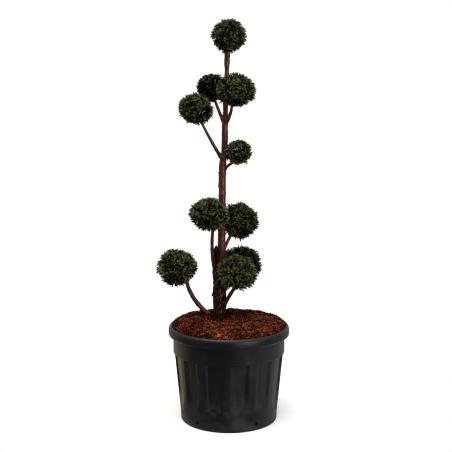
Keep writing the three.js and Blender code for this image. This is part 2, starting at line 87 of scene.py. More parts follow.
class Field:
    """One output of a node. Its methods, and arithmetic with it, add the nodes that take it further."""

    def __init__(self, tree, socket):
        self.tree = tree
        self.socket = socket

    def beside(self, output):
        """Another output of the same node."""
        return Field(self.tree, self.socket.node.outputs[output])

    def to(self, node, name):
        """Joins this output to an input of a node."""
        self.tree.links.new(self.socket, node.inputs[name])

    def calc(self, operation, *others):
        """The result of one Math node."""
        return put(self.tree, "ShaderNodeMath", dict(enumerate((self, *others))), operation=operation)

    def __add__(self, other):
        return self.calc("ADD", other)

    def __sub__(self, other):
        return self.calc("SUBTRACT", other)

    def __mul__(self, other):
        return self.calc("MULTIPLY", other)

    def __rtruediv__(self, other):
        return put(self.tree, "ShaderNodeMath", {0: other, 1: self}, operation="DIVIDE")

    def ramp(self, low, high, bottom=0.0, top=1.0, kind="SMOOTHSTEP"):
        """A value that goes from bottom to top as this one goes from low to high."""
        sockets = {0: self, 1: low, 2: high, 3: bottom, 4: top}
        return put(self.tree, "ShaderNodeMapRange", sockets, interpolation_type=kind)

    def axes(self):
        """The three parts of this vector."""
        first = put(self.tree, "ShaderNodeSeparateXYZ", {0: self})
        return [first.beside(axis) for axis in range(3)]

    def vector(self, operation, *others, output=0):
        """The result of one Vector Math node."""
        sockets = dict(enumerate((self, *others)))
        return put(self.tree, "ShaderNodeVectorMath", sockets, output, operation=operation)

    def scaled(self, factor):
        """This vector made longer or shorter."""
        return put(self.tree, "ShaderNodeVectorMath", {0: self, "Scale": factor}, operation="SCALE")

    def from_spot(self, spot):
        """How far this place is from a spot."""
        return self.vector("DISTANCE", spot, output="Value")

    def clouds(self, scale, detail=2.0):
        """Cloudy noise at this place."""
        return put(self.tree, "ShaderNodeTexNoise", {"Vector": self, "Scale": scale, "Detail": detail})

    def noise(self, size, detail=3.0, stretch=(1, 1, 1)):
        """Cloudy noise whose patches are about this size, drawn out along the axes by stretch."""
        scale = [1 / (size * s) for s in stretch]
        return put(self.tree, "ShaderNodeMapping", {"Vector": self, "Scale": scale}).clouds(1.0, detail)

    def mix(self, first, second):
        """A colour between two, as this share goes from 0 to 1."""
        first, second = [c if isinstance(c, Field) else (*c, 1) for c in (first, second)]
        return put(self.tree, "ShaderNodeMix", {0: self, 6: first, 7: second}, 2, data_type="RGBA")

    def bump(self, shader, depth):
        """Fine relief on a finish: this height, from 0 to 1, stands up by depth."""
        put(self.tree, "ShaderNodeBump", {"Height": self, "Distance": depth}).to(shader, "Normal")

    def moved(self, offset):
        """This geometry with its points moved."""
        return put(self.tree, "GeometryNodeSetPosition", {0: self, "Offset": offset})

    def stored(self, label, value, kind="FLOAT"):
        """This geometry with a value kept on its points under a label."""
        sockets = {0: self, "Name": label, "Value": value}
        return put(self.tree, "GeometryNodeStoreNamedAttribute", sockets, data_type=kind, domain="POINT")

    def set_with(self, instance, rotation, scale, pick=False):
        """An instance on each of these points, or one picked from several."""
        sockets = {"Points": self, "Instance": instance, "Rotation": rotation, "Scale": scale}
        return put(self.tree, "GeometryNodeInstanceOnPoints", {**sockets, "Pick Instance": pick})

    def resampled(self, spacing, measure):
        """These lines with points this far apart, which keep how far along they are."""
        line = put(self.tree, "GeometryNodeMeshToCurve", {0: self})
        line = put(self.tree, "GeometryNodeResampleCurve", {0: line, "Length": spacing}, mode="LENGTH")
        return line.stored("along", put(self.tree, "GeometryNodeSplineParameter", output=measure))


def put(tree, kind, sockets=None, output=0, **settings):
    """Adds a node to a tree, sets it up, joins or sets its inputs, and gives one of its outputs."""
    node = tree.nodes.new(kind)
    for name, value in settings.items():
        setattr(node, name, value)
    for name, value in (sockets or {}).items():
        if isinstance(value, Field):
            value.to(node, name)
        else:
            node.inputs[name].default_value = value
    return Field(tree, node.outputs[output])


def xyz(tree, *values):
    """A vector put together from three values."""
    return put(tree, "ShaderNodeCombineXYZ", dict(enumerate(values)))


def named(tree, label, kind="FLOAT"):
    """The value that was stored under a label."""
    return put(tree, "GeometryNodeInputNamedAttribute", {"Name": label}, data_type=kind)


def label_of(size_name):
    """The label of a tree's input for a size."""
    return size_name.replace("_", " ").title()


def new_shape_tree(name, sizes):
    """A Geometry Nodes tree, and the geometry and the named sizes that it takes."""
    kinds = {int: "NodeSocketInt", float: "NodeSocketFloat", tuple: "NodeSocketVector"}
    tree = bpy.data.node_groups.new(name, "GeometryNodeTree")
    for side in ("OUTPUT", "INPUT"):
        tree.interface.new_socket("Geometry", in_out=side, socket_type="NodeSocketGeometry")
    for size_name, size in sizes.items():
        tree.interface.new_socket(label_of(size_name), in_out="INPUT", socket_type=kinds[type(size)])
    inputs = tree.nodes.new("NodeGroupInput").outputs
    fields = {taken: Field(tree, inputs[label_of(taken)]) for taken in ("geometry", *sizes)}
    return tree, SimpleNamespace(**fields)


def give(geometry, *materials):
    """Ends a tree: instances made real, and each material set where the tint attribute has its number."""
    tree = geometry.tree
    geometry = put(tree, "GeometryNodeRealizeInstances", {0: geometry})
    for number, material in enumerate(materials):
        chosen = named(tree, "tint").calc("COMPARE", number, 0.5) if len(materials) > 1 else True
        geometry = put(tree, "GeometryNodeSetMaterial", {0: geometry, 1: chosen, 2: material})
    geometry.to(tree.nodes.new("NodeGroupOutput"), 0)
    return tree


def shown(name, data):
    """An object in the scene, with this mesh, lamp or camera."""
    shown_object = bpy.data.objects.new(name, data)
    bpy.context.scene.collection.objects.link(shown_object)
    return shown_object


def shaped(name, start, tree, sizes):
    """A piece with a plain mesh: the start mesh as the tree shapes it with these sizes."""
    piece = shown(name, start)
    modifier = piece.modifiers.new(tree.name, "NODES")
    modifier.node_group = tree
    inputs = {item.name: item.identifier for item in tree.interface.items_tree if item.in_out == "INPUT"}
    for size_name, size in sizes.items():
        modifier[inputs[label_of(size_name)]] = size
    evaluated = piece.evaluated_get(bpy.context.evaluated_depsgraph_get())
    piece.data = bpy.data.meshes.new_from_object(evaluated)
    piece.data.name = name
    piece.modifiers.remove(modifier)
    bpy.data.meshes.remove(start)
    for label in ("fluted", "tint", "along", "girth", "rough", "inner"):
        if label in piece.data.attributes:
            piece.data.attributes.remove(piece.data.attributes[label])
    return piece


def new_finish(name, roughness, specular):
    """A material, its Principled shader, and the place on the object."""
    material = bpy.data.materials.new(name)
    material.use_nodes = True
    shader = material.node_tree.nodes["Principled BSDF"]
    shader.inputs["Roughness"].default_value = roughness
    shader.inputs["Specular IOR Level"].default_value = specular
    return material, shader, put(material.node_tree, "ShaderNodeTexCoord", output="Object")


def between(start, end, share):
    """A number or a point part of the way from start to end."""
    return start + (end - start) * share


def arc(radius, height, size, start, end, steps=5, tall=1.0):
    """Points of a round edge in a turned profile: its centre, its size, the degrees that it covers, and how
    tall it is for its width."""
    turns = [math.radians(between(start, end, step / steps)) for step in range(steps + 1)]
    return [(radius + size * math.cos(turn), height + tall * size * math.sin(turn)) for turn in turns]


def mesh_of(name, points, edges, faces, *materials):
    """A mesh with these points, edges, faces and materials."""
    mesh = bpy.data.meshes.new(name)
    mesh.from_pydata(points, edges, faces)
    for material in materials:
        mesh.materials.append(material)
    return mesh


def turned_mesh(name, profile, angles):
    """A closed mesh turned about the pot's axis. The profile starts and ends on the axis, and the angles
    run from the front towards the right."""
    rings = profile[1:-1]
    points = [(r * math.sin(a), -r * math.cos(a), z) for r, z in rings for a in angles]
    points += [(0, 0, profile[0][1]), (0, 0, profile[-1][1])]
    start, end = len(points) - 2, len(points) - 1
    across = len(angles)
    last = (len(rings) - 1) * across
    faces = []
    for column in range(across):
        beside = (column + 1) % across
        faces.append((start, beside, column))
        for ring in range(0, last, across):
            faces.append((ring + column, ring + beside, ring + across + beside, ring + across + column))
        faces.append((last + column, last + beside, end))
    return mesh_of(name, points, [], faces)


def pot_inside():
    """The pot's section down the inside, from under its rim to the edge of its floor."""
    inner_foot = FOOT_RADIUS - WALL_THICKNESS
    inner_wall = WALL_THICKNESS + FLUTE_DEPTH
    return [
        (COLLAR_RADIUS - WALL_THICKNESS, RIM_FOOT_HEIGHT),
        (COLLAR_RADIUS - WALL_THICKNESS - WALL_DRAFT, COLLAR_FOOT_HEIGHT + WALL_THICKNESS),
        (WALL_TOP[0] - inner_wall, COLLAR_FOOT_HEIGHT - WALL_THICKNESS),
        (WALL_FOOT[0] - inner_wall + WALL_DRAFT, INNER_FOOT_HEIGHT),
        (inner_foot, FOOT_HEIGHT - WALL_THICKNESS),
        (inner_foot, FLOOR_HEIGHT),
    ]


def pot_profile():
    """The pot's section from the middle of its underside, up the outside, over the rim and down the inside
    to its floor, and the numbers of the first point of the fluted wall and of the one after it."""
    foot = arc(FOOT_RADIUS - EDGE, EDGE, EDGE, -75, 0)
    rises = [row / WALL_ROWS for row in range(WALL_ROWS + 1)]
    wall = [tuple(between(a, b, rise) for a, b in zip(WALL_FOOT, WALL_TOP)) for rise in rises]
    collar = arc(COLLAR_RADIUS - EDGE, COLLAR_FOOT_HEIGHT + EDGE, EDGE, -90, 0)
    collar += arc(COLLAR_RADIUS + COLLAR_FILLET, RIM_FOOT_HEIGHT - COLLAR_FILLET, COLLAR_FILLET, 180, 90, 3)
    rim = arc(RIM_RADIUS - RIM_EDGE, RIM_FOOT_HEIGHT + RIM_EDGE, RIM_EDGE, -90, 0)
    roll = ROLL_DROP / ROLL_WIDTH
    rim += arc(RIM_RADIUS - ROLL_WIDTH, POT_HEIGHT - ROLL_DROP, ROLL_WIDTH, 0, 90, 10, roll)
    rim += arc(RIM_INNER_RADIUS + EDGE, POT_HEIGHT - EDGE, EDGE, 90, 180)
    first = len(UNDERSIDE + foot)
    profile = [*UNDERSIDE, *foot, *wall, *collar, *rim, *pot_inside(), (0, FLOOR_HEIGHT)]
    return profile, first, first + len(wall)


def pot_angles():
    """Where the wall's columns stand: close together on the flanks, where the flutes are pressed in."""
    pitch = math.tau / RIB_COUNT
    rib_edge = RIB_WIDTH / 2
    flute_edge = rib_edge + FLANK_WIDTH
    stretches = (
        (-rib_edge, rib_edge, RIB_COLUMNS),
        (rib_edge, flute_edge, FLANK_COLUMNS),
        (flute_edge, pitch - flute_edge, FLUTE_COLUMNS),
        (pitch - flute_edge, pitch - rib_edge, FLANK_COLUMNS),
    )
    columns = [between(a, b, step / steps) for a, b, steps in stretches for step in range(steps)]
    return [RIB_TURN + rib * pitch + column for rib in range(RIB_COUNT) for column in columns]


def pot_plastic():
    """Satin black plastic with the finest grain, dulled by dust, by splashes at its foot and by soil."""
    material, shader, place = new_finish("pot_plastic", PLASTIC_ROUGHNESS, 0.42)
    dust = place.noise(0.09, 5, (1, 1, 1.6)).ramp(0.45, 0.75) * place.noise(0.006).ramp(0.3, 0.7, 0.35, 1)
    colour = (dust * 0.55).mix((0.0025, 0.0027, 0.0048), (0.0150, 0.0147, 0.0175))
    splash = place.noise(0.075, 5, (1, 1, 0.7)).ramp(0.44, 0.72)
    splash = splash * place.axes()[2].ramp(*SPLASH_HEIGHTS, 0.5, 0)
    colour = splash.mix(colour, (0.034, 0.032, 0.031))
    near = [place.from_spot(spot).ramp(0.01, SMEAR_REACH, 0.55, 0) for spot in POT_SMEARS]
    soiled = near[0]
    for share in near[1:]:
        soiled = soiled.calc("MAXIMUM", share)
    soiled = place.noise(0.022, 4, (1, 1, 0.8)).ramp(0.42, 0.62) * soiled
    soiled.mix(colour, (0.026, 0.012, 0.006)).to(shader, "Base Color")
    (dust * 0.18 + soiled * 0.3 + PLASTIC_ROUGHNESS).to(shader, "Roughness")
    place.noise(0.0025, 2).bump(shader, 0.0002)
    return material


def pot_tree(material):
    """Presses the flutes in between the ribs, round at their feet, and cuts the drain holes."""
    tree, size = new_shape_tree("pot", POT_SIZES)
    position = put(tree, "GeometryNodeInputPosition")
    x, y, z = position.axes()
    half_pitch = math.pi / size.rib_count
    off_rib = (x.calc("ARCTAN2", y * -1.0) - size.turn).calc("PINGPONG", half_pitch)
    rib_edge = size.rib_width * 0.5
    flute_edge = rib_edge + size.flank_width
    across = off_rib.ramp(rib_edge, flute_edge, kind="LINEAR")
    off_middle = off_rib.ramp(half_pitch, flute_edge, kind="LINEAR")
    flute_foot = size.foot_height + off_middle.calc("POWER", 2.0) * size.foot_bow
    up = z.ramp(flute_foot, flute_foot + size.run_out)
    depth = across * up * named(tree, "fluted") * size.flute_depth
    inward = position.vector("MULTIPLY", (-1, -1, 0)).vector("NORMALIZE")
    wall = size.geometry.moved(inward.scaled(depth))
    turn = math.tau / size.drain_count * put(tree, "GeometryNodeInputIndex") + size.drain_turn
    right = turn.calc("SINE") * size.drain_radius
    back = turn.calc("COSINE") * size.drain_radius * -1.0
    spot = xyz(tree, right, back, size.drain_height)
    drains = put(tree, "GeometryNodePoints", {"Count": size.drain_count, "Position": spot})
    plug = put(tree, "GeometryNodeMeshCylinder", {"Vertices": 20, "Radius": 0.5, "Depth": 1.0})
    facing = put(tree, "FunctionNodeEulerToRotation", {0: xyz(tree, math.pi / 2, 0.0, turn)})
    plugs = put(tree, "GeometryNodeRealizeInstances", {0: drains.set_with(plug, facing, size.drain_size)})
    sockets = {"Mesh 1": wall, "Mesh 2": plugs}
    return give(put(tree, "GeometryNodeMeshBoolean", sockets, operation="DIFFERENCE"), material)


profile, first_fluted, past_fluted = pot_profile()
columns = pot_angles()
pot_start = turned_mesh("pot_start", profile, columns)
on_flutes = [first_fluted <= 1 + ring < past_fluted for ring in range(len(profile) - 2) for _ in columns]
pot_start.attributes.new("fluted", "FLOAT", "POINT").data.foreach_set("value", [*on_flutes, 0, 0])
pot = shaped("pot_tub", pot_start, pot_tree(pot_plastic()), POT_SIZES)
pot.data.shade_smooth()
pot.data.set_sharp_from_angle(angle=SHARP_ANGLE)
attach(pot, "root")
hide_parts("pot")


# Soil
# Potting soil that fills the tub to just under its rim, rises steeply to a shoulder and then gently to a
# broad crown, under a dressing of chipped bark. It was heaped by hand, and the chips lie as they fell.

SOIL_EDGE_RADIUS = 0.240
SOIL_EDGE_HEIGHT = 0.400
SOIL_SHOULDER_HEIGHT = 0.432
SOIL_SHOULDER_POWER = 34
SOIL_CROWN_HEIGHT = 0.438
SOIL_CLEARANCE = 0.0006
SOIL_RINGS = 60
SOIL_COLUMNS = 120
SOIL_SIZES = dict(
    lump_size=0.03, lump_height=0.018, heap_foot=0.396, fall=0.03,
    trunk_foot=(-0.040, 0.065, SOIL_CROWN_HEIGHT), mound_height=0.012, mound_reach=0.09,
)
MULCH_SIZES = dict(
    density=62000.0, shortest=0.003, longest=0.014, tilt=0.9, heap_foot=SOIL_SIZES["heap_foot"],
    patch_size=0.05, trunk_foot=SOIL_SIZES["trunk_foot"], damp_reach=0.16, seed=5,
)
CHIP_SHAPES = 6
CHIP_HALVES = (0.5, 0.27, 0.16)
CHIP_GROWTHS = (0.55, 1.35)
CHIP_SEED = 71
CHUNKS = ((-0.042, -0.2335, 0.016), (-0.012, -0.2380, 0.010))
CHUNK_SHAPE = Vector((1, 1, 1.8))


def seeded_numbers(seed):
    """An endless repeatable stream of numbers from 0 to 1, the same one that the solids grow by."""
    word = 0xFFFFFFFF
    state = seed & word
    while True:
        state = (state + 0x6D2B79F5) & word
        bits = ((state ^ (state >> 15)) * (state | 1)) & word
        bits = ((bits + (bits ^ (bits >> 7)) * (bits | 61)) ^ bits) & word
        yield (bits ^ (bits >> 14)) / (word + 1)


def soil_height(radius):
    """Height of the heaped soil at a distance from the pot's axis."""
    share = radius / SOIL_EDGE_RADIUS
    shoulder = (SOIL_SHOULDER_HEIGHT - SOIL_EDGE_HEIGHT) * (1 - share ** SOIL_SHOULDER_POWER)
    return SOIL_EDGE_HEIGHT + shoulder + (SOIL_CROWN_HEIGHT - SOIL_SHOULDER_HEIGHT) * (1 - share ** 2)


def soil_profile():
    """The soil's section: the lining of the tub from its floor up, then the heap from the edge to the crown,
    its rings closest on the steep edge."""
    lining = [(r - SOIL_CLEARANCE, height + SOIL_CLEARANCE) for r, height in reversed(pot_inside())]
    shares = [1 - (step / SOIL_RINGS) ** 2 for step in range(SOIL_RINGS + 1)]
    heap = [(SOIL_EDGE_RADIUS * share, soil_height(SOIL_EDGE_RADIUS * share)) for share in shares]
    return [(0, lining[0][1]), *lining, *heap]


def damp_soil():
    """Dark crumbling soil."""
    material, shader, place = new_finish("damp_soil", 0.95, 0.05)
    crumb = place.noise(0.006, 6)
    crumb.ramp(0.35, 0.7).mix((0.008, 0.002, 0.0008), (0.05, 0.012, 0.004)).to(shader, "Base Color")
    crumb.bump(shader, 0.003)
    return material


def chip_bark(name, colour, dark):
    """One of the browns of the chipped bark, streaked along the grain."""
    material, shader, place = new_finish(name, 0.9, 0.03)
    streak = place.noise(0.004, 4, (1, 1, 0.6))
    streak.ramp(0.35, 0.65).mix(dark, colour).to(shader, "Base Color")
    streak.bump(shader, 0.0008)
    return material


def soil_tree(material):
    """Makes the heap uneven, as poured soil lies: it falls towards the back and is drawn up to the trunk."""
    tree, size = new_shape_tree("soil", SOIL_SIZES)
    position = put(tree, "GeometryNodeInputPosition")
    _, back, height = position.axes()
    lumps = (position.clouds(1.0 / size.lump_size, 3.0) - 0.5) * size.lump_height
    apart = position.from_spot(size.trunk_foot)
    mound = apart.ramp(0.0, size.mound_reach, size.mound_height, 0.0)
    rise = lumps - back * size.fall + mound
    on_heap = height.calc("GREATER_THAN", size.heap_foot)
    return give(size.geometry.moved(xyz(tree, 0.0, 0.0, rise * on_heap)), material)


def chip_mesh(name, numbers, material):
    """One chip of bark, a metre long until it is scaled: a slab with uneven corners."""
    corners = product(*((-half, half) for half in CHIP_HALVES))
    points = [[c * between(*CHIP_GROWTHS, next(numbers)) for c in corner] for corner in corners]
    faces = [(0, 1, 3, 2), (4, 6, 7, 5), (0, 4, 5, 1), (2, 3, 7, 6), (0, 2, 6, 4), (1, 5, 7, 3)]
    return mesh_of(name, points, [], faces, material)


def drawn(seed, offset, low=0.0):
    """A number from low to 1 for each point, drawn by a tree's seed and an offset of its own."""
    return put(seed.tree, "FunctionNodeRandomValue", {2: low, 3: 1.0, 8: seed + float(offset)}, 1)


def mulch_tree(chips, materials):
    """Scatters chips over the heap, lying nearly flat, each with one of the browns, which are darker in
    patches, and darker still near the trunk's foot as painted shade."""
    tree, size = new_shape_tree("mulch", MULCH_SIZES)

    def chance(low, high, offset, power=1.0):
        return drawn(size.seed, offset).calc("POWER", power).ramp(0.0, 1.0, low, high, "LINEAR")

    position = put(tree, "GeometryNodeInputPosition")
    on_heap = position.axes()[2].calc("GREATER_THAN", size.heap_foot)
    sockets = {0: size.geometry, "Selection": on_heap, "Density": size.density, "Seed": size.seed}
    spots = put(tree, "GeometryNodeDistributePointsOnFaces", sockets)
    shapes = put(tree, "GeometryNodeJoinGeometry")
    for chip in chips:
        shape = put(tree, "GeometryNodeObjectInfo", {"Object": chip, "As Instance": True}, "Geometry")
        shape.to(shapes.socket.node, 0)
    tilts = [chance(size.tilt * -1.0, size.tilt, offset) for offset in (1, 2)]
    lean = xyz(tree, *tilts, chance(0.0, math.tau, 3))
    lean = put(tree, "FunctionNodeEulerToRotation", {0: lean})
    length = chance(size.shortest, size.longest, 4, 2.0)
    patch = position.clouds(1.0 / size.patch_size).ramp(0.3, 0.7, -0.3, 0.3, "LINEAR")
    # Painted shade: chips close to the trunk's foot take darker browns.
    painted_foot_shade = position.from_spot(size.trunk_foot).ramp(0.02, size.damp_reach, 0.4, 0.0)
    browns = chance(0.0, 1.0, 5, 0.9) + patch - painted_foot_shade
    browns = browns.calc("MAXIMUM", 0.0).calc("MINIMUM", 0.99) * float(len(materials))
    tinted = spots.stored("tint", browns.calc("FLOOR"))
    return give(tinted.set_with(shapes, lean, xyz(tree, length, length, length), True), *materials)


around = [math.tau * step / SOIL_COLUMNS for step in range(SOIL_COLUMNS)]
soil_start = turned_mesh("soil_start", soil_profile(), around)
soil = shaped("soil_fill", soil_start, soil_tree(damp_soil()), SOIL_SIZES)
soil.data.shade_smooth()
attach(soil, "root")
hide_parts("soil")

browns = [
    chip_bark("bark_chip_dark", (0.012, 0.0022, 0.0006), (0.004, 0.0008, 0.0002)),
    chip_bark("bark_chip_brown", (0.054, 0.0095, 0.0026), (0.022, 0.0038, 0.0010)),
    chip_bark("bark_chip_red", (0.115, 0.023, 0.007), (0.050, 0.010, 0.003)),
    chip_bark("bark_chip_orange", (0.225, 0.066, 0.028), (0.11, 0.028, 0.011)),
]
chip_numbers = seeded_numbers(CHIP_SEED)
chip_meshes = [chip_mesh("chip", chip_numbers, browns[0]) for _ in range(CHIP_SHAPES)]
chips = [bpy.data.objects.new("chip", mesh) for mesh in chip_meshes]
mulch = shaped("bark_mulch", soil.data.copy(), mulch_tree(chips, browns), MULCH_SIZES)
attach(mulch, "root")
for chip in chips:
    bpy.data.objects.remove(chip)

chunk_bark = chip_bark("bark_chunk", (0.44, 0.135, 0.050), (0.25, 0.070, 0.027))
for number, (x, y, length) in enumerate(CHUNKS):
    name = f"bark_chunk_{number}"
    chunk = shown(name, chip_mesh(name, chip_numbers, chunk_bark))
    seat = Vector((x, y, soil_height(math.hypot(x, y)) - SOIL_SIZES["fall"] * y + 0.5 * length))
    chunk.data.transform(Matrix.LocRotScale(seat, None, CHUNK_SHAPE * length))
    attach(chunk, "root")


# Trunk
# The yew's one stem, of old dark bark that flakes below the shoulder, where an earlier leader was cut, and
# of smooth red-brown bark above it. It is rooted in the soil and runs up to the top ball.

TRUNK_STATIONS = (
    (0.426, -0.0400, 0.0290), (0.446, -0.0400, 0.0280), (0.472, -0.0400, 0.0275), (0.640, -0.0410, 0.0290),
    (0.676, -0.0370, 0.0245), (0.715, -0.0315, 0.0170), (1.020, -0.0290, 0.0156), (1.085, -0.0275, 0.0157),
    (1.160, -0.0190, 0.0132), (1.260, -0.0172, 0.0129), (1.320, -0.0148, 0.0110), (1.490, -0.0095, 0.0098),
    (1.568, -0.0070, 0.0125), (1.638, 0.0000, 0.0040),
)
TRUNK_FOOT_Y = 0.065
TRUNK_TIP_Y = 0.055
TRUNK_STEP = 0.004
TRUNK_SIZES = dict(
    sides=44, ring_spacing=0.0028, lump_size=0.035, lump_height=0.006, flake_width=0.007,
    flake_length=0.022, flake_height=0.005, shift=0.0,
)
OLD_BARK_TOP = 0.700
OLD_BARK_FADE = 0.05
PAINTED_FOOT_SHADE = (0.445, 0.490)
YOUNG_BARK_SHEEN = (1.0, 0.72, 0.68, 1)
KNOTS = (
    (0.523, -95, 0.0055, 0.0085), (0.585, 60, 0.0030, 0.0070), (0.842, -80, 0.0015, 0.0060),
    (1.002, -85, 0.0018, 0.0060), (1.130, 100, 0.0015, 0.0050), (1.225, -110, 0.0015, 0.0050),
    (1.480, 80, 0.0015, 0.0045), (0.940, 150, 0.0020, 0.0060), (1.060, -85, 0.0018, 0.0060),
)
KNOT_RISE = 0.25
KNOT_ROOT = 0.5
KNOT_SHOULDER = 0.6
KNOT_TIP_GIRTH = 0.55
SMOOTH_BARK_RELIEF = 0.25
RAGGEDNESS = 0.8


def eased(value, low, high):
    """The share, from 0 to 1, that a value has gone from low to high, slow at both ends."""
    share = min(1.0, max(0.0, (value - low) / (high - low)))
    return share * share * (3 - 2 * share)


def trunk_at(height):
    """The trunk's axis and girth at a height, eased between its stations of height, x and girth."""
    below, above = next(pair for pair in zip(TRUNK_STATIONS, TRUNK_STATIONS[1:]) if pair[1][0] >= height)
    share = eased(height, below[0], above[0])
    rise = (height - TRUNK_STATIONS[0][0]) / (TRUNK_STATIONS[-1][0] - TRUNK_STATIONS[0][0])
    axis = Vector((between(below[1], above[1], share), between(TRUNK_FOOT_Y, TRUNK_TIP_Y, rise), height))
    return axis, between(below[2], above[2], share)


def bark_age(height):
    """How old the bark is at a height, from 0 where it is smooth to 1 where it flakes."""
    return 1 - eased(height, OLD_BARK_TOP - OLD_BARK_FADE, OLD_BARK_TOP)


def knot_line(height, turn, stands, girth):
    """The line and girths of a small knot where a side twig was cut off, at a turn from the front."""
    axis, trunk_girth = trunk_at(height)
    out = Vector((math.sin(math.radians(turn)), -math.cos(math.radians(turn)), KNOT_RISE))
    reaches = (trunk_girth * KNOT_ROOT, trunk_girth + stands * KNOT_SHOULDER, trunk_girth + stands)
    return [axis + out * reach for reach in reaches], (girth, girth, girth * KNOT_TIP_GIRTH)


def line_mesh(name, lines, **values):
    """A mesh of edges along each line of points, with a value of each kind for every point."""
    edges = []
    first = 0
    for line in lines:
        edges += [(number, number + 1) for number in range(first, first + len(line) - 1)]
        first += len(line)
    mesh = mesh_of(name, [point for line in lines for point in line], edges, [])
    for label, numbers in values.items():
        attribute = mesh.attributes.new(label, "FLOAT", "POINT")
        attribute.data.foreach_set("value", [number for line in numbers for number in line])
    return mesh


def young_bark(name, light, dark, roughness=0.27, specular=0.5):
    """Thin smooth bark, streaked along the limb and blotched."""
    material, shader, place = new_finish(name, roughness, specular)
    shader.inputs["Specular Tint"].default_value = YOUNG_BARK_SHEEN
    fibre = place.noise(0.004, 4, (1, 1, 7))
    blotch = place.noise(0.02, 3, (1, 1, 2))
    share = fibre.ramp(0.35, 0.68) * blotch.ramp(0.3, 0.65, 0.45, 1)
    share.mix(dark, light).to(shader, "Base Color")
    fibre.ramp(0.3, 0.7, roughness + 0.12, roughness - 0.04).to(shader, "Roughness")
    fibre.bump(shader, 0.0004)
    return material


def old_bark(name, flake, crack, specular=0.3):
    """Thick old bark: flakes between dull dark cracks, which lie where the relief attribute is low. It is
    darker towards the trunk's foot, as painted shade where it meets the soil."""
    material, shader, place = new_finish(name, 0.6, specular)
    relief = put(place.tree, "ShaderNodeAttribute", output="Fac", attribute_name="relief")
    fibre = place.noise(0.004, 4, (1, 1, 5))
    share = relief.ramp(0.4, 0.8) * fibre.ramp(0.3, 0.65, 0.35, 1)
    # Painted shade: towards the trunk's foot the bark turns to its crack colour.
    share = share * place.axes()[2].ramp(*PAINTED_FOOT_SHADE, 0.15, 1)
    share.mix(crack, flake).to(shader, "Base Color")
    relief.ramp(0.4, 0.9, 0.9, 0.22).to(shader, "Roughness")
    fibre.bump(shader, 0.0012)
    return material


def limb_tree(sizes, *materials):
    """Skins lines of given girth as limbs, with lumps all over and flakes of bark where they are rough. With
    two materials, the second lies in ragged patches where they are rough."""
    tree, size = new_shape_tree("limb", sizes)
    line = size.geometry.resampled(size.ring_spacing, "Length")
    ring = put(tree, "GeometryNodeCurvePrimitiveCircle", {"Resolution": size.sides, "Radius": 1.0})
    ring = ring.stored("ring", put(tree, "GeometryNodeInputPosition"), "FLOAT_VECTOR")
    girth, rough = named(tree, "girth"), named(tree, "rough")
    skin = put(tree, "GeometryNodeCurveToMesh", {0: line, 1: ring, "Scale": girth, "Fill Caps": True})
    east, north, _ = named(tree, "ring", "FLOAT_VECTOR").scaled(girth).axes()
    unrolled = xyz(tree, east, north, named(tree, "along") + size.shift)
    lump = (unrolled.clouds(1.0 / size.lump_size) - 0.5) * size.lump_height
    width, length = 1.0 / size.flake_width, 1.0 / size.flake_length
    flake = unrolled.vector("MULTIPLY", xyz(tree, width, width, length)).clouds(1.0, 3.0).ramp(0.36, 0.64)
    rise = (flake - 0.5) * size.flake_height * rough.ramp(0, 1, SMOOTH_BARK_RELIEF, 1, "LINEAR")
    normal = put(tree, "GeometryNodeInputNormal")
    skin = skin.stored("relief", flake).moved(normal.scaled(lump + rise))
    skin = put(tree, "GeometryNodeSetShadeSmooth", {0: skin, "Shade Smooth": True})
    skin = put(tree, "GeometryNodeRemoveAttribute", {0: skin, "Name": "ring"})
    ragged = rough + (flake - 0.5) * RAGGEDNESS
    return give(skin.stored("tint", ragged.calc("GREATER_THAN", 0.5)), *materials)


trunk_foot, trunk_tip = TRUNK_STATIONS[0][0], TRUNK_STATIONS[-1][0]
trunk_steps = round((trunk_tip - trunk_foot) / TRUNK_STEP)
trunk_heights = [between(trunk_foot, trunk_tip, step / trunk_steps) for step in range(trunk_steps + 1)]
trunk_axis, trunk_girths = zip(*(trunk_at(height) for height in trunk_heights))
knot_axes, knot_girths = zip(*(knot_line(*knot) for knot in KNOTS))
knot_ages = [[float(height < OLD_BARK_TOP)] * 3 for height, _, _, _ in KNOTS]
trunk_line = line_mesh(
    "trunk_line", [trunk_axis, *knot_axes], girth=[trunk_girths, *knot_girths],
    rough=[[bark_age(height) for height in trunk_heights], *knot_ages],
)
trunk_barks = (
    young_bark("trunk_young_bark", (0.138, 0.032, 0.021), (0.052, 0.0098, 0.0056)),
    old_bark("trunk_old_bark", (0.112, 0.029, 0.019), (0.005, 0.0010, 0.0005)),
)
trunk = shaped("trunk_stem", trunk_line, limb_tree(TRUNK_SIZES, *trunk_barks), TRUNK_SIZES)
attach(trunk, "root")
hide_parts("trunk")


# Dead stub
# The weathered snag of the earlier leader, bare grey-black wood that was broken off above the shoulder.
# It has grown out of the trunk, tapers little until near its end, and comes to a point.

STUB_ROOT = Vector((-0.049, 0.055, 0.650))
STUB_TIP = Vector((-0.056, 0.046, 0.750))
STUB_ROOT_RADIUS = 0.0140
STUB_TIP_RADIUS = 0.0012
STUB_TAPER = 7
STUB_STEPS = 20
STUB_SIZES = dict(
    sides=16, ring_spacing=0.0025, lump_size=0.02, lump_height=0.005, flake_width=0.004,
    flake_length=0.016, flake_height=0.0025, shift=2.0,
)

stub_shares = [step / STUB_STEPS for step in range(STUB_STEPS + 1)]
stub_line = line_mesh(
    "stub_line", [[between(STUB_ROOT, STUB_TIP, share) for share in stub_shares]],
    girth=[[between(STUB_ROOT_RADIUS, STUB_TIP_RADIUS, share ** STUB_TAPER) for share in stub_shares]],
    rough=[[1.0 for _ in stub_shares]],
)
stub_wood = old_bark("dead_wood", (0.026, 0.014, 0.010), (0.003, 0.0018, 0.0013), 0.1)
stub = shaped("dead_stub_snag", stub_line, limb_tree(STUB_SIZES, stub_wood), STUB_SIZES)
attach(stub, "root")
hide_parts("dead_stub")
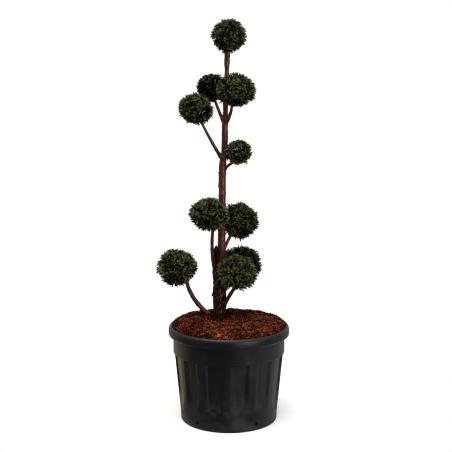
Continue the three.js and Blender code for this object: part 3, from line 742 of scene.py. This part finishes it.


# Boughs
# Nine limbs of smooth red-brown bark, each trained out from the trunk, or up from the soil, to carry one
# ball. Each swells where it leaves the trunk, bends once, and runs on to the ball's heart.

# Seen from the front, a ball's forms are directions, as x and z, in which it was left to grow further out,
# and by how much of its size. Its gaps are places in it, as x and z, where sky shows through, and their
# size. Its shade makes its greens lighter or darker than the others'. On upper_back and bottom_back, which
# sit behind other balls, it is painted shade.
BALLS = (
    dict(name="top", heart=(0.000, 0.055, 1.638), width=0.147, height=0.144,
         forms=((-1.0, 0.1, 0.05), (1.0, -0.05, 0.06), (0.44, -0.9, -0.09), (0.1, -1.0, 0.12)),
         gaps=((-0.42, -0.20, 0.14),)),
    # Painted shade: upper_back's darker greens stand for the shadow of the balls in front of it.
    dict(name="upper_back", heart=(-0.077, 0.118, 1.422), width=0.129, height=0.123, shade=-0.32,
         root_height=1.268, elbow=(-0.050, 0.084, 1.334), girths=(0.0075, 0.0060),
         forms=((0.75, 0.66, 0.14), (-0.95, -0.3, -0.06))),
    dict(name="upper_front", heart=(0.028, -0.033, 1.412), width=0.170, height=0.138,
         root_height=1.268, elbow=(0.022, 0.020, 1.326), aim=(0.012, -0.020, 1.405),
         girths=(0.0075, 0.0055),
         forms=((-0.1, 1.0, 0.06), (0.9, -0.4, 0.05))),
    dict(name="upper_left", heart=(-0.141, 0.020, 1.335), width=0.152, height=0.130,
         root_height=1.115, elbow=(-0.094, 0.046, 1.222), girths=(0.0080, 0.0050),
         forms=((0.75, -0.65, 0.10), (-0.45, -0.9, -0.10), (-0.6, 0.8, 0.05), (0.2, -1.0, 0.05)),
         gaps=((0.60, -0.25, 0.32),)),
    dict(name="middle_right", heart=(0.039, 0.013, 1.154), width=0.115, height=0.105, shade=0.06,
         root_height=1.062, elbow=(0.000, 0.040, 1.112), aim=(0.036, 0.020, 1.112),
         girths=(0.0070, 0.0050),
         forms=((-0.9, -0.35, 0.18), (0.95, 0.3, 0.06)), gaps=((-0.10, 0.19, 0.19),)),
    dict(name="lower_left", heart=(-0.083, -0.037, 0.898), width=0.170, height=0.141,
         root_height=0.606, elbow=(-0.090, 0.035, 0.674), aim=(-0.062, -0.025, 0.885),
         girths=(0.0090, 0.0065),
         forms=((0.0, -1.0, 0.08), (-0.5, -0.87, 0.05), (-1.0, 0.0, 0.04), (0.7, -0.7, 0.08))),
    dict(name="lower_right", heart=(0.051, 0.113, 0.849), width=0.158, height=0.162, shade=-0.13,
         root_height=0.684, elbow=(-0.015, 0.082, 0.764), girths=(0.0075, 0.0062),
         forms=((-0.75, 0.66, 0.17), (0.5, 0.87, -0.08), (1.0, 0.0, 0.05), (-0.1, -1.0, 0.05),
                (-0.8, -0.6, 0.07))),
    dict(name="side_left", heart=(-0.224, 0.040, 0.655), width=0.175, height=0.158, shade=-0.06,
         soil_root=(-0.070, 0.079, 0.420), elbow=(-0.196, 0.066, 0.522), aim=(-0.186, 0.040, 0.645),
         girths=(0.0115, 0.0080),
         forms=((-1.0, 0.0, 0.06), (-0.5, -0.87, 0.09), (0.3, -0.95, 0.07), (0.97, 0.2, 0.06),
                (0.15, 1.0, -0.08), (-0.3, 0.95, 0.11))),
    dict(name="bottom_front", heart=(0.034, -0.035, 0.648), width=0.176, height=0.150, shade=0.02,
         root_height=0.447, elbow=(0.018, 0.022, 0.572), aim=(0.080, -0.035, 0.649),
         girths=(0.0095, 0.0070),
         forms=((0.75, -0.66, 0.12), (0.45, -0.89, 0.05), (-0.1, -1.0, -0.05))),
    # Painted shade: bottom_back's darker greens stand for the shadow of bottom_front.
    dict(name="bottom_back", heart=(0.060, 0.142, 0.650), width=0.175, height=0.160, shade=-0.40,
         root_height=0.474, elbow=(-0.020, 0.092, 0.560), girths=(0.0058, 0.0046),
         forms=((-0.65, 0.76, 0.14), (0.75, 0.66, 0.06), (0.7, -0.7, 0.06))),
)
BOUGH_STEPS = 60
BOUGH_SIZES = dict(
    sides=20, ring_spacing=0.0028, lump_size=0.022, lump_height=0.0035, flake_width=0.004,
    flake_length=0.018, flake_height=0.002, shift=3.0,
)
COLLAR_SWELL = 0.25
COLLAR_REACH = 0.012
AGED_REACH = (0.004, 0.016)
BOUGH_AGE = 0.05


def halves_of(ball):
    """Half the ball's size along each axis, out to its clipped surface."""
    return Vector((ball["width"] / 2, ball["width"] / 2, ball["height"] / 2))


def in_ball(point, ball):
    """How far out from the heart a point lies, where 1 is the clipped surface."""
    offset = point - Vector(ball["heart"])
    return Vector(o / h for o, h in zip(offset, halves_of(ball))).length


def bough_path(ball):
    """Points along a ball's bough from its root to where it aims inside the ball, and on to the heart. The
    top ball's bough is the trunk's tip."""
    if "elbow" not in ball:
        return list(trunk_axis[-BOUGH_STEPS:])
    root = Vector(ball["soil_root"]) if "soil_root" in ball else trunk_at(ball["root_height"])[0]
    elbow, aim = Vector(ball["elbow"]), Vector(ball.get("aim", ball["heart"]))
    shares = [step / BOUGH_STEPS for step in range(BOUGH_STEPS + 1)]
    path = [between(between(root, elbow, share), between(elbow, aim, share), share) for share in shares]
    return [*path, Vector(ball["heart"])] if "aim" in ball else path


def clear_of_trunk(point):
    """How far a point of a bough's line stands off the trunk's bark, 0 inside the trunk."""
    axis, girth = trunk_at(min(max(point.z, trunk_foot), trunk_tip))
    return max(0.0, (point - axis).length - girth)


bough_bark = young_bark("bough_bark", (0.138, 0.032, 0.021), (0.044, 0.0086, 0.005))
bough_skin = limb_tree(BOUGH_SIZES, bough_bark, trunk_barks[1])
for number, ball in enumerate(BALLS[1:]):
    path = bough_path(ball)
    outside = sum(in_ball(point, ball) > 1 for point in path)
    girths = [between(*ball["girths"], min(1.0, step / outside)) for step in range(len(path))]
    ages = [BOUGH_AGE for _ in path]
    if "root_height" in ball:
        clear = [clear_of_trunk(point) for point in path]
        swells = [1 + COLLAR_SWELL * math.exp(-c / COLLAR_REACH) for c in clear]
        girths = [girth * swell for girth, swell in zip(girths, swells)]
        ages = [max(BOUGH_AGE, bark_age(p.z) * (1 - eased(c, *AGED_REACH))) for p, c in zip(path, clear)]
    bough_line = line_mesh("bough_line", [path], girth=[girths], rough=[ages])
    sizes = {**BOUGH_SIZES, "shift": BOUGH_SIZES["shift"] + number}
    bough = shaped("bough_to_" + ball["name"], bough_line, bough_skin, sizes)
    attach(bough, "root")
    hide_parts("bough_" + ball["name"])


# Balls
# Yew clipped with shears into balls: twigs spread from the bough's end and fork into sprays and short
# shoots, each set all round with flat dark needles. Paler greens on the tops are painted light, and the
# darker greens inside the balls and at the roots of the shoots are painted shade. They are held by growth
# alone.

TWIG_AREA = 0.0079
TWIG_WANDER = 0.22
TWIG_TIP_REACH = 0.86
TWIG_GIRTHS = (0.0040, 0.0015)
TWIG_AGE = 0.5
TWIG_SIZES = dict(
    sides=3, ring_spacing=0.02, lump_size=0.02, lump_height=0.0, flake_width=0.004,
    flake_length=0.01, flake_height=0.0, shift=20.0,
)
SPRAYS_ROUND_TWIG = 3
SPRAY_ROOT_REACH = 0.6
SPRAY_SPREAD = 0.37
SPRAY_LEANS = (0.9, 1.1)
SPRAY_TIP_REACH = 0.84
SPRAY_GIRTHS = (0.0018, 0.0010)
SPRAY_ROUNDING = 0.06
OFF_TWIG = Vector((0.3, 0.9, 0.2))
SHOOT_AREA = 0.000115
SHOOT_WANDER = 0.16
SHOOT_ROOT_REACH = 0.9
SHOOT_ROOT_DROP = 0.8
SHOOT_REACH = 0.945
SHOOT_JITTER = 0.10
SHOOT_BOW = 0.1
SHOOT_GIRTHS = (0.0009, 0.0006)
BALL_LUMPS = 0.06
LUMPS_ROUND_BALL = 2.3
LUMPS_APART = 40
FORM_WIDTH = 0.38
GAP_LIMIT = 0.9
INNER_SHARE = 0.45
INNER_REACH = 0.72
STRAY_BELOW = -0.3
STRAY_CHANCE = 0.05
STRAY_REACH = 0.16
BOUGH_CLEARANCE = 1.4
MEAN_LIGHT = 0.52
PAINTED_TOP_LIGHT = 0.15
LIGHT_OF_SPRAY = 0.22
LIGHT_OF_SHOOT = 0.95
GREEN_STEPS = (0.08, 0.26, 0.46, 0.68)
BROWN_LEVEL = -0.4
BROWN_ABOVE = 0.06
BROWN_BELOW = 0.14
FIRST_SEED = 1201
GOLDEN_TURN = math.pi * (3 - math.sqrt(5))
SPIN_JITTER = 0.4
TIP_LENGTH = 0.72
NEEDLE_SIZES = dict(
    spacing=0.0009, length=0.0092, width=0.0028, thickness=0.0005, root_lean=1.1,
    tip_lean=0.4, lean_jitter=0.25, length_jitter=0.15, inner_growth=1.1,
    deep_share=0.4, dark_share=0.65, seed=FIRST_SEED,
)


def spiral_directions(count, wander, numbers):
    """Directions spread over a ball on a golden spiral that starts at its top, each nudged."""
    directions = []
    for turns in range(count):
        level = 1 - 2 * turns / (count - 1)
        nudge = wander * (next(numbers) - 0.5) if turns else 0.0
        polar = math.acos(min(1.0, max(-1.0, level))) + nudge
        turn = GOLDEN_TURN * turns + wander * (next(numbers) - 0.5)
        flat = math.sin(polar)
        directions.append(Vector((flat * math.sin(turn), -flat * math.cos(turn), math.cos(polar))))
    return directions


def spray_directions(direction, spread, numbers):
    """Directions of the sprays on one twig, which lean out round it."""
    side = OFF_TWIG.cross(direction).normalized()
    phase = next(numbers) * math.tau
    sprays = []
    for spray in range(SPRAYS_ROUND_TWIG):
        hinge = Quaternion(direction, phase + spray * math.tau / SPRAYS_ROUND_TWIG) @ side
        sprays.append(Quaternion(hinge, spread * between(*SPRAY_LEANS, next(numbers))) @ direction)
    return sprays


def form_of(ball, aim):
    """How much further than a plain ball this one was left to grow in a direction, seen from the front."""
    leans = [(aim.angle(Vector((x, 0, z))), amount) for x, z, amount in ball.get("forms", ())]
    return sum(amount * math.exp(-(lean / FORM_WIDTH) ** 2) for lean, amount in leans)


def is_open(ball, aim, share):
    """Whether a shoot would close a gap that shows the sky from the front."""
    if math.hypot(aim.x, aim.z) > GAP_LIMIT:
        return False
    gaps = ball.get("gaps", ())
    return any(math.hypot(aim.x * share - x, aim.z * share - z) < size for x, z, size in gaps)


def grow(ball, seed):
    """A ball's bare twigs with their girths, and its leafy shoots with the number of each one's green and
    whether it stays inside. Most are lighter towards the top, as painted light; those inside all take the
    deepest green, as painted shade; and here and there one has browned."""
    numbers = seeded_numbers(seed)
    heart, halves = Vector(ball["heart"]), halves_of(ball)

    def reach(direction, share):
        return heart + Vector(d * h * share for d, h in zip(direction, halves))

    area = math.pi * ball["width"] * (ball["width"] + ball["height"]) / 2
    twig_count = round(area / TWIG_AREA)
    spread = SPRAY_SPREAD * math.sqrt(4 * math.pi / twig_count)
    entry = next(point for point in bough_path(ball) if in_ball(point, ball) < 1) - heart
    bough_girth = ball["girths"][1] if "girths" in ball else TRUNK_STATIONS[-2][2]
    twigs, girths, sprays = [], [], []
    for direction in spiral_directions(twig_count, TWIG_WANDER, numbers):
        fork = reach(direction, SPRAY_ROOT_REACH)
        twigs.append([heart, fork, reach(direction, TWIG_TIP_REACH)])
        girths.append([TWIG_GIRTHS[0], between(*TWIG_GIRTHS, SPRAY_ROOT_REACH), TWIG_GIRTHS[1]])
        sprays += [(fork, spray) for spray in [direction, *spray_directions(direction, spread, numbers)]]
    tips = [reach(spray, SPRAY_TIP_REACH) for _, spray in sprays]
    twigs += [[fork, tip] for (fork, _), tip in zip(sprays, tips)]
    girths += [SPRAY_GIRTHS for _ in sprays]
    spray_lights = [next(numbers) for _ in sprays]
    spray_width = math.acos(1 - 2 / len(sprays))
    outer_count = round(area / SHOOT_AREA)
    inner_count = round(outer_count * INNER_SHARE)
    shoots, tints, inner = [], [], []
    layers = [(aim, True) for aim in spiral_directions(outer_count, SHOOT_WANDER, numbers)]
    layers += [(aim, False) for aim in spiral_directions(inner_count, SHOOT_WANDER, numbers)]
    for aim, outer in layers:
        if aim.angle(entry) < BOUGH_CLEARANCE * bough_girth / halves.x:
            continue
        nearest = max(range(len(sprays)), key=lambda spray: aim.dot(sprays[spray][1]))
        fork, spray = sprays[nearest]
        off = min(1.0, aim.angle(spray) / spray_width)
        start = between(fork, tips[nearest], SHOOT_ROOT_REACH - SHOOT_ROOT_DROP * off)
        share = SHOOT_REACH if outer else INNER_REACH
        lump = clumps.noise(aim * LUMPS_ROUND_BALL + heart * LUMPS_APART)
        share += BALL_LUMPS * lump - SPRAY_ROUNDING * off * off
        share += SHOOT_JITTER * (next(numbers) - 0.5) + form_of(ball, aim)
        if outer and aim.z < STRAY_BELOW and next(numbers) < STRAY_CHANCE:
            share += STRAY_REACH * next(numbers)
        if is_open(ball, aim, share):
            continue
        end = reach(aim, share)
        bow = (tips[nearest] - fork).normalized() * SHOOT_BOW * (end - start).length
        shoots.append([start, between(start, end, 0.5) + bow, end])
        # Painted light: shoots that face up take lighter greens.
        light = MEAN_LIGHT + PAINTED_TOP_LIGHT * aim.z + LIGHT_OF_SPRAY * (spray_lights[nearest] - 0.5)
        light += LIGHT_OF_SHOOT * (next(numbers) - 0.5)
        # Painted shade: inner shoots all take the deepest green, and a ball's shade darkens the ones that
        # sit behind others.
        green = 1 + sum(light + ball.get("shade", 0.0) > step for step in GREEN_STEPS) if outer else 1
        browned = green > 1 and next(numbers) < (BROWN_BELOW if aim.z < BROWN_LEVEL else BROWN_ABOVE)
        tints.append([0.0 if browned else float(green)] * 3)
        inner.append([0.0 if outer else 1.0] * 3)
    return twigs, girths, shoots, {"tint": tints, "inner": inner}


def needle_green(name, colour, roughness, specular):
    """One of the plain greens that are dealt out by shoot."""
    material, shader, _ = new_finish(name, roughness, specular)
    shader.inputs["Base Color"].default_value = (*colour, 1)
    return material


def needle_shape(material):
    """One yew needle, a metre each way until it is scaled: pointed, with a keel along its back."""
    points = [(0, 0, 0), (-0.5, -1, 0.45), (0.5, -1, 0.45), (0, 0, 1)]
    faces = [(0, 1, 3), (0, 3, 2), (0, 2, 1), (3, 1, 2)]
    return bpy.data.objects.new("needle", mesh_of("needle", points, [], faces, material))


def needle_tree(needle, materials):
    """Sets needles round every shoot in a golden spiral, leaning out at its root and forward at its tip.
    Those near the root are up to two greens darker, as painted shade, and those inside the ball are fewer
    and larger."""
    tree, size = new_shape_tree("needles", NEEDLE_SIZES)

    def chance(spread, offset):
        return drawn(size.seed, offset, -1.0) * spread

    def turned_by(rotation, axis, angle):
        turn = put(tree, "FunctionNodeAxisAngleToRotation", {"Axis": axis, "Angle": angle})
        sockets = {"Rotation": rotation, "Rotate By": turn}
        return put(tree, "FunctionNodeRotateRotation", sockets, rotation_space="LOCAL")

    larger = named(tree, "inner") * size.inner_growth + 1.0
    line = size.geometry.resampled(size.spacing * larger, "Factor")
    spots = put(tree, "GeometryNodeCurveToPoints", {0: line}, mode="EVALUATED")
    along, tint = named(tree, "along"), named(tree, "tint")
    spin = put(tree, "GeometryNodeInputIndex") * GOLDEN_TURN + chance(SPIN_JITTER, 1)
    lean = along.ramp(0.0, 1.0, size.root_lean, size.tip_lean, "LINEAR") + chance(size.lean_jitter, 2)
    sockets = {"Vector": spots.beside("Tangent")}
    rotation = put(tree, "FunctionNodeAlignRotationToVector", sockets, axis="Z")
    rotation = turned_by(turned_by(rotation, (0, 0, 1), spin), (1, 0, 0), lean)
    grown = along.ramp(0.5, 1.0, 1.0, TIP_LENGTH) + chance(size.length_jitter, 3)
    scale = xyz(tree, size.width * larger, size.thickness, size.length * grown * larger)
    # Painted shade: needles near a shoot's root take one or two darker greens.
    darker = tint - along.calc("LESS_THAN", size.dark_share) - along.calc("LESS_THAN", size.deep_share)
    tinted = spots.stored("tint", darker.calc("MAXIMUM", tint.calc("MINIMUM", 1.0)))
    shape = put(tree, "GeometryNodeObjectInfo", {"Object": needle, "As Instance": True}, "Geometry")
    return give(tinted.set_with(shape, rotation, scale), *materials)


greens = [
    needle_green("needle_brown", (0.066, 0.040, 0.015), 0.7, 0.1),
    needle_green("needle_deep", (0.0045, 0.0048, 0.0011), 0.8, 0.04),
    needle_green("needle_dark", (0.019, 0.020, 0.0046), 0.7, 0.1),
    needle_green("needle_green", (0.042, 0.058, 0.0100), 0.55, 0.25),
    needle_green("needle_olive", (0.102, 0.096, 0.026), 0.45, 0.4),
    needle_green("needle_pale", (0.190, 0.205, 0.072), 0.45, 0.4),
]
needle = needle_shape(greens[0])
needles_on_shoots = needle_tree(needle, greens)
twig_bark = young_bark("twig_bark", (0.040, 0.014, 0.008), (0.010, 0.004, 0.002), 0.6, 0.15)
twig_skin = limb_tree(TWIG_SIZES, twig_bark)
shoot_girths = [between(*SHOOT_GIRTHS, share) for share in (0, 0.5, 1)]
for number, ball in enumerate(BALLS):
    twigs, girths, shoots, kinds = grow(ball, FIRST_SEED + number)
    shoot_line = line_mesh("shoot_line", shoots, **kinds)
    sizes = {**NEEDLE_SIZES, "seed": FIRST_SEED + number}
    needles = shaped("needles_" + ball["name"], shoot_line, needles_on_shoots, sizes)
    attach(needles, "root")
    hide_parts("ball_" + ball["name"])
    lines = twigs + shoots
    ages = [[TWIG_AGE] * len(line) for line in lines]
    twig_line = line_mesh("twig_line", lines, girth=girths + [shoot_girths for _ in shoots], rough=ages)
    sizes = {**TWIG_SIZES, "shift": TWIG_SIZES["shift"] + number}
    twig_piece = shaped("twigs_" + ball["name"], twig_line, twig_skin, sizes)
    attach(twig_piece, "root")
bpy.data.objects.remove(needle)


# Studio
# A pale floor under a white surround, a broad soft lamp from above on the left, a low bluish one at the
# front on the right and a weak one further round. Glossy pieces mirror a dimmer room in front. The camera
# stands where the photograph was taken from.

FLOOR_RADIUS = 0.95
FLOOR_GLOW = 0.12
MIRRORED_FLOOR = (0.20, 0.30)
DIM_SIDE = (-0.34, -0.94, 0.0)
LAMPS = (
    ("top_lamp", 2.5, 60, -25, 70, (1, 1, 1)),
    ("front_lamp", 0.85, 26, 37, 2, (0.91, 0.95, 1.0)),
    ("right_lamp", 0.35, 40, 62, 30, (0.85, 0.92, 1.0)),
)
FRONT_STRENGTH = 0.40
MIRRORED_FRONT_STRENGTH = 0.09
BACK_STRENGTH = 0.6
FILTER_WIDTH = 1.1
PHOTO_SIZE = 452
FOCAL_PIXELS = 891.65
SENSOR_WIDTH = 36.0
CAMERA_PLACE = (-0.0126, -3.752, 1.3904)
CAMERA_PITCH = math.radians(8.327)


def pale_floor():
    """Matt white card with the faintest unevenness and a faint glow that lightens the shadow on it. Glossy
    pieces mirror it dimmed in front and warm on the left."""
    material, shader, place = new_finish("pale_floor", 0.9, 0.1)
    white = place.noise(0.8, 2).mix((0.95, 0.95, 0.95), (0.97, 0.97, 0.97))
    away = place.vector("LENGTH", output="Value")
    ahead = place.vector("DOT_PRODUCT", DIM_SIDE, output="Value").calc("DIVIDE", away)
    dimmed = ahead.ramp(-0.2, 0.6) * away.ramp(*MIRRORED_FLOOR)
    mirrored = place.axes()[0].ramp(-0.4, 0.0).mix((0.86, 0.76, 0.45), (0.50, 0.50, 0.52))
    mirrored = dimmed.mix(mirrored, (0.085, 0.085, 0.09))
    glossy = put(place.tree, "ShaderNodeLightPath", output="Is Glossy Ray")
    glossy.mix(white, mirrored).to(shader, "Base Color")
    shader.inputs["Emission Color"].default_value = (1, 1, 1, 1)
    (glossy.beside("Is Camera Ray") * FLOOR_GLOW).to(shader, "Emission Strength")
    return material


def soft_lamp(name, strength, softness, turn, height, colour):
    """A broad lamp that shines from a height and from a turn, which goes from the front to the right."""
    lamp = shown(name, bpy.data.lights.new(name, "SUN"))
    lamp.data.energy = strength
    lamp.data.angle = math.radians(softness)
    lamp.data.color = colour
    lamp.rotation_euler = (math.radians(90 - height), 0, math.radians(turn))


def white_surround():
    """A surround that is plain white to the camera, lights the object less from the front than from behind
    and above, and is a little warm on the left."""
    world = bpy.data.worlds.new("white_surround")
    world.use_nodes = True
    tree = world.node_tree
    right, back, up = put(tree, "ShaderNodeTexCoord", output="Generated").axes()
    sides = right.ramp(-0.9, 0.3).mix((1.0, 0.93, 0.76), (0.97, 0.98, 1.0))
    glossy = put(tree, "ShaderNodeLightPath", output="Is Glossy Ray")
    front = glossy.ramp(0.0, 1.0, FRONT_STRENGTH, MIRRORED_FRONT_STRENGTH)
    strength = (back * 0.6 + up * 0.9).ramp(-0.5, 0.7, front, BACK_STRENGTH)
    lit = put(tree, "ShaderNodeBackground", {"Color": sides, "Strength": strength})
    seen = put(tree, "ShaderNodeBackground", {"Color": (1, 1, 1, 1), "Strength": 1.0})
    blend = put(tree, "ShaderNodeMixShader", {0: glossy.beside("Is Camera Ray"), 1: lit, 2: seen})
    blend.to(tree.nodes["World Output"], "Surface")
    return world


corners = [(FLOOR_RADIUS * math.cos(a), FLOOR_RADIUS * math.sin(a), 0.0) for a in around]
floor = shown("floor", mesh_of("floor", corners, [], [range(len(corners))], pale_floor()))

for lamp in LAMPS:
    soft_lamp(*lamp)
bpy.context.scene.world = white_surround()
bpy.context.scene.view_settings.view_transform = "Standard"
bpy.context.scene.cycles.filter_width = FILTER_WIDTH

camera = shown("camera", bpy.data.cameras.new("camera"))
camera.data.sensor_width = SENSOR_WIDTH
camera.data.lens = SENSOR_WIDTH * FOCAL_PIXELS / PHOTO_SIZE
camera.location = CAMERA_PLACE
camera.rotation_euler = (math.pi / 2 - CAMERA_PITCH, 0, 0)
bpy.context.scene.camera = camera
